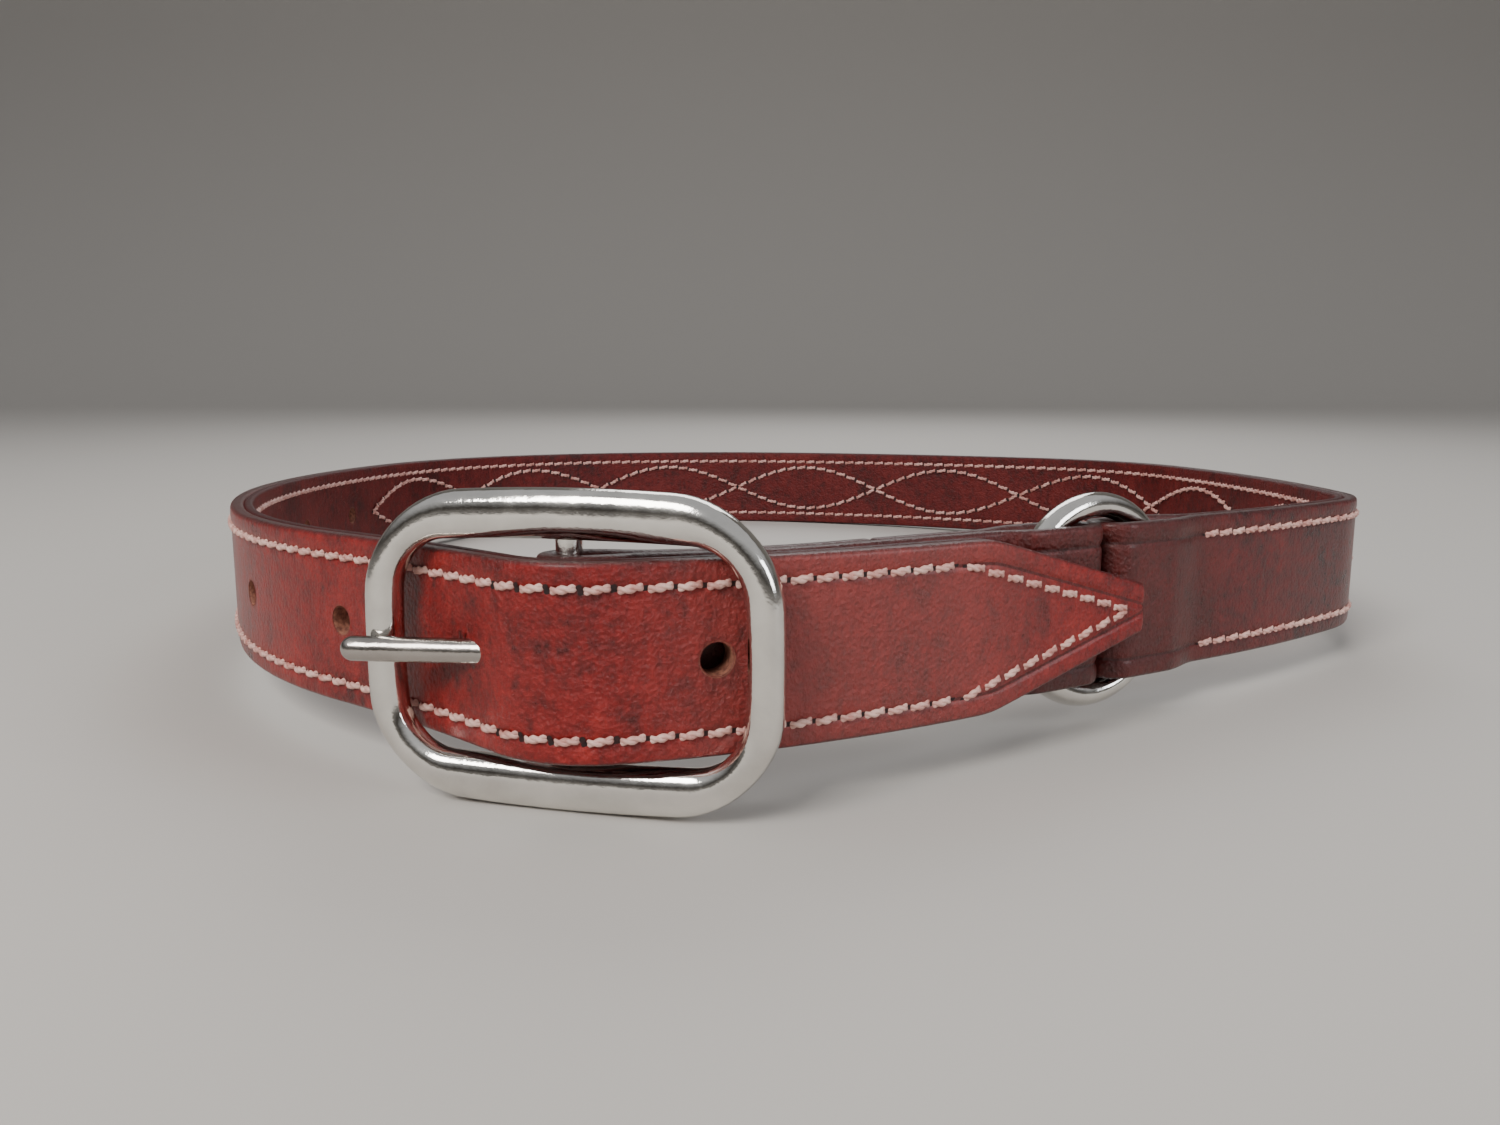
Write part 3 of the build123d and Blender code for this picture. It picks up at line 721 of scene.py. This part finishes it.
# ---------------------------------------------------------------- seam threads
# Saddle stitches of waxed two-ply thread, pale pink from the dye. Each stitch leans a little and
# dives into an awl hole at both ends.
pitch, slope_count, tip_inset = 4.6, 9, 4.7
first_stitch, awl_inset = 2.8, 0.25
# How far the threads lie below the leather's face, in their grooves.
outside_sink, inside_sink, chape_sink = 0.26, 0.2, 0.24
awl_spots = []


def laid(course, stations, heights, climbs, face, outwards):
    """Middle, run and outward direction of stitches on a face of the strap.

    The run is the course's direction at the station, tipped upwards by the climb, and the outward
    direction is the course's right, or its left on the inner face.
    """
    middle, forward, left = walk(*course, stations, face)
    heights, climbs = np.broadcast_to(heights, len(middle)), np.broadcast_to(climbs, len(middle))
    middle = np.column_stack([middle, heights])
    run = np.column_stack([forward * np.cos(climbs)[:, None], np.sin(climbs)])
    return middle, run, np.column_stack([-outwards * left, np.zeros(len(middle))])


def stitches(name, rows, length, girth, material, node, lift=0.1, slant=0.15, sections=9, sides=6):
    """Twisted two-ply stitches, all in one mesh, that stand for one CAD node.

    Along a stitch t goes from -1 to 1. The thread's middle stands off the face by the lift times
    1 less t to the fourth, less a dive at the ends. Each ply is a tube of radius 0.31 girth whose
    middle circles the thread's middle, 0.20 girth wide and 0.12 high, one and a quarter turns a
    stitch.
    """
    middle, run, out = rows
    across = np.cross(out, run)
    run = run * np.cos(slant) + across * np.sin(slant)
    across = np.cross(out, run)
    t = np.linspace(-1, 1, sections)
    stand = lift + 0.22 * girth - (0.60 * girth + lift) * np.abs(t) ** 4
    tube = 0.31 * girth * (1 - 0.35 * np.abs(t) ** 6)[:, None]
    twist = np.pi * 1.25 * t
    tube_turn = np.linspace(0, 2 * np.pi, sides, endpoint=False)
    plies = []
    for ply in (0, np.pi):
        side = 0.20 * girth * np.cos(twist + ply)[:, None] + tube * np.cos(tube_turn)
        high = (stand + 0.12 * girth * np.sin(twist + ply))[:, None] + tube * np.sin(tube_turn)
        far = np.broadcast_to((t * length / 2)[:, None], side.shape)
        plies.append(np.stack([far, side, high], -1))
    axes = np.stack([run, across, out], 1)
    points = middle[:, None, None, None, :] + np.einsum("pstk,nkd->npstd", np.stack(plies), axes)
    firsts = np.arange(points.shape[0] * points.shape[1]) * sections * sides
    faces = (grid_faces(sections, sides)[None] + firsts[:, None, None]).reshape(-1, 4)
    mesh = bpy.data.meshes.new(name)
    mesh.from_pydata(stood(points.reshape(-1, 3)).tolist(), [], faces.tolist())
    mesh.shade_smooth()
    piece = piece_of(name, mesh, material)
    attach(piece, "strap")
    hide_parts(node)
    for end in (-1, 1):
        awl_spots.append((middle + end * run * (length / 2 + awl_inset), run, across, out))


def thread_of(name, pale, dull):
    """Waxed thread: a pale colour taken down in places by dye and handling."""
    material, tree, shader = material_of(name)
    place = place_of(tree)
    tone_shift = noise_of(tree, place, 260, 5, 0.7)
    fuzz = noise_of(tree, place, 4200, 3)
    tree.links.new(ramp_of(tree, tone_shift, (0.32, dull), (0.6, pale)), shader.inputs["Base Color"])
    tree.links.new(bump_of(tree, fuzz, 0.3, 0.0001), shader.inputs["Normal"])
    shader.inputs["Roughness"].default_value = 0.55
    return material


pink_thread = thread_of("pink_thread", (0.80, 0.52, 0.45), (0.50, 0.20, 0.17))
inner_thread = thread_of("inner_thread", (0.74, 0.44, 0.39), (0.42, 0.16, 0.13))
seam_height = half_width - seam_inset
taper = (half_width - point_half) / point_length
turn_back = strap_end - tip_inset
shoulder = turn_back - seam_height / taper
tip_angle = np.arctan(taper)
straight_run = np.arange(ring_run + first_stitch, shoulder - 1, pitch)
slope_run = turn_back - (np.arange(slope_count) + 0.5) / slope_count * (turn_back - shoulder)
slope_height = (turn_back - slope_run) * taper
edge_stations = np.concatenate([straight_run, straight_run, slope_run, slope_run])
edge_heights = np.concatenate([
    np.full(len(straight_run), seam_height), np.full(len(straight_run), -seam_height),
    slope_height, -slope_height,
])
edge_climbs = np.concatenate([
    np.zeros(2 * len(straight_run)), np.full(slope_count, -tip_angle), np.full(slope_count, tip_angle),
])
edge_seam = (strap, edge_stations, edge_heights, edge_climbs)
stitches(
    "edge_seam_outside", laid(*edge_seam, outer_face + outside_sink, 1), 4.55, 1.5, pink_thread,
    "edge_seam_needle_thread",
)
stitches(
    "edge_seam_inside", laid(*edge_seam, inner_face - inside_sink, -1), 4.4, 1.4, inner_thread,
    "edge_seam_bobbin_thread",
)
chape_run = np.arange(bar_run + first_stitch, chape_end - ring_run - 2, pitch)
chape_heights = np.repeat([seam_height, -seam_height], len(chape_run))
chape_seam = (chape, np.concatenate([chape_run, chape_run]), chape_heights, 0.0)
for name, face, outwards, node in (
    ("chape_seam_outside", -chape_thickness + chape_sink, 1, "chape_seam_needle_thread"),
    ("chape_seam_inside", chape_thickness - chape_sink, -1, "chape_seam_bobbin_thread"),
):
    stitches(name, laid(*chape_seam, face, outwards), 4.1, 1.1, inner_thread, node, lift=0.02)

# ---------------------------------------------------------------- quilted waves
# Two lines of stitching wave across each other round the back of the belt, on both faces.
wave_start, wave_half, wave_rise = 108.0, 65.5, 9.3
half_waves, half_wave_stitches, wave_stand = 8, 14, 0.02
wave_along = (np.arange(half_waves * half_wave_stitches) + 0.5) * wave_half / half_wave_stitches
for sign, word in ((1, "a"), (-1, "b")):
    wave_height = sign * wave_rise * np.sin(np.pi * wave_along / wave_half)
    wave_climb = np.arctan(sign * wave_rise * np.pi / wave_half * np.cos(np.pi * wave_along / wave_half))
    for face, outwards, side, node, thread in (
        (outer_face - wave_stand, 1, "outside", "needle", pink_thread),
        (inner_face + wave_stand, -1, "inside", "bobbin", inner_thread),
    ):
        stitches(
            f"wave_{word}_{side}",
            laid(strap, wave_start + wave_along, wave_height, wave_climb, face, outwards),
            4.4, 1.45, thread, f"wave_{word}_{node}_thread", lift=0.05 if sign > 0 else 0.3,
        )

# ---------------------------------------------------------------- awl holes
# Small slanted awl holes at both ends of every stitch: flat discs just off the face, painted dark as the
# shade inside the holes.
awl_half_length, awl_half_width, awl_stand, awl_corners = 0.52, 0.50, 0.06, 8
# The discs' near-black colour is painted shade for the depth of the holes.
awl_shade, awl_shade_tree, awl_shade_shader = material_of("awl_hole_painted_shade")
awl_shade_noise = noise_of(awl_shade_tree, place_of(awl_shade_tree), 900)
awl_shade_colour = ramp_of(awl_shade_tree, awl_shade_noise, (0.3, (0.006, 0.001, 0.001)), (0.7, (0.028, 0.004, 0.004)))
awl_shade_tree.links.new(awl_shade_colour, awl_shade_shader.inputs["Base Color"])
awl_shade_shader.inputs["Roughness"].default_value = 0.7
middle, run_way, cross_way, out_way = (np.concatenate(a)[:, None] for a in zip(*awl_spots))
edge_turn = np.linspace(0, 2 * np.pi, awl_corners, endpoint=False)[None, :, None]
disc = (
    middle + awl_stand * out_way + awl_half_length * np.cos(edge_turn) * run_way
    + awl_half_width * np.sin(edge_turn) * cross_way
)
awl_faces = np.arange(len(disc) * awl_corners).reshape(-1, awl_corners)
awl_mesh = bpy.data.meshes.new("awl_hole_shade")
awl_mesh.from_pydata(stood(disc.reshape(-1, 3)).tolist(), [], awl_faces.tolist())
awl_hole_shade = piece_of("awl_hole_shade", awl_mesh, awl_shade)
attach(awl_hole_shade, "strap")

# ---------------------------------------------------------------- floor, light and camera
# A plain pale floor, a large soft light above and to the left, and weaker ones right and behind.
# The floor sweeps up behind into a wall: a quarter circle between two straight runs.
floor_half, wall_top, sweep_start, sweep_radius = 5.0, 4.0, 1.6, 0.9
sweep = np.linspace(0, np.pi / 2, 24)
floor_run = np.concatenate([
    [-floor_half], sweep_start + sweep_radius * np.sin(sweep), [sweep_start + sweep_radius],
])
floor_rise = np.concatenate([[0.0], sweep_radius * (1 - np.cos(sweep)), [wall_top]])
floor_points = np.stack([
    np.repeat([[-floor_half], [floor_half]], len(floor_run), 1), np.tile(floor_run, (2, 1)),
    np.tile(floor_rise, (2, 1)),
], -1)
strip = np.arange(len(floor_run) - 1)
floor_faces = np.stack([strip, strip + len(floor_run), strip + len(floor_run) + 1, strip + 1], -1)
floor_mesh = bpy.data.meshes.new("floor")
floor_mesh.from_pydata(floor_points.reshape(-1, 3).tolist(), [], floor_faces.tolist())
floor_mesh.shade_smooth()
pale, _, pale_shader = material_of("pale_floor")
pale_shader.inputs["Base Color"].default_value = (0.52, 0.495, 0.465, 1)
pale_shader.inputs["Roughness"].default_value = 0.85
floor = piece_of("floor", floor_mesh, pale)

world = bpy.data.worlds.new("soft_room")
bpy.context.scene.world = world
world.use_nodes = True
sky = world.node_tree
sky_place = node_of(sky, "ShaderNodeTexCoord").outputs["Generated"]
sky_height = node_of(sky, "ShaderNodeSeparateXYZ", in_Vector=sky_place).outputs["Z"]
sky_colour = ramp_of(
    sky, range_of(sky, sky_height, -1, 1),
    (0.46, (0.30, 0.28, 0.26)), (0.51, (0.38, 0.36, 0.34)), (0.60, (0.09, 0.08, 0.07)),
    (0.80, (0.88, 0.89, 0.91)),
)
sky.links.new(sky_colour, sky.nodes["Background"].inputs["Color"])
sky.nodes["Background"].inputs["Strength"].default_value = 0.55
for name, place, aim, size, power, colour in (
    ("key", (-0.45, -0.75, 0.75), (0, -0.12, 0.03), 0.45, 10.0, (1.0, 0.97, 0.93)),
    ("fill", (0.85, -0.55, 0.40), (0.05, -0.1, 0.03), 0.4, 3.5, (0.93, 0.96, 1.0)),
    ("back", (0.1, 0.75, 0.80), (0, 0.05, 0.02), 0.7, 5.0, (1.0, 1.0, 1.0)),
):
    light = bpy.data.lights.new(name, "AREA")
    light.size, light.energy, light.color = size, power, colour
    lamp = piece_of(name, light)
    lamp.location = place
    sight = np.array(aim) - np.array(place)
    lamp.rotation_euler = (
        np.arctan2(np.hypot(sight[0], sight[1]), -sight[2]), 0, np.arctan2(-sight[0], sight[1]),
    )

camera_pitch = 10.33
lens = bpy.data.cameras.new("camera")
lens.sensor_width, lens.lens, lens.clip_start = 36, 26.0, 0.01
camera = piece_of("camera", lens)
camera.location = (-0.0095, -0.3348, 0.0722)
camera.rotation_euler = (np.radians(90 - camera_pitch), 0, 0)
bpy.context.scene.camera = camera
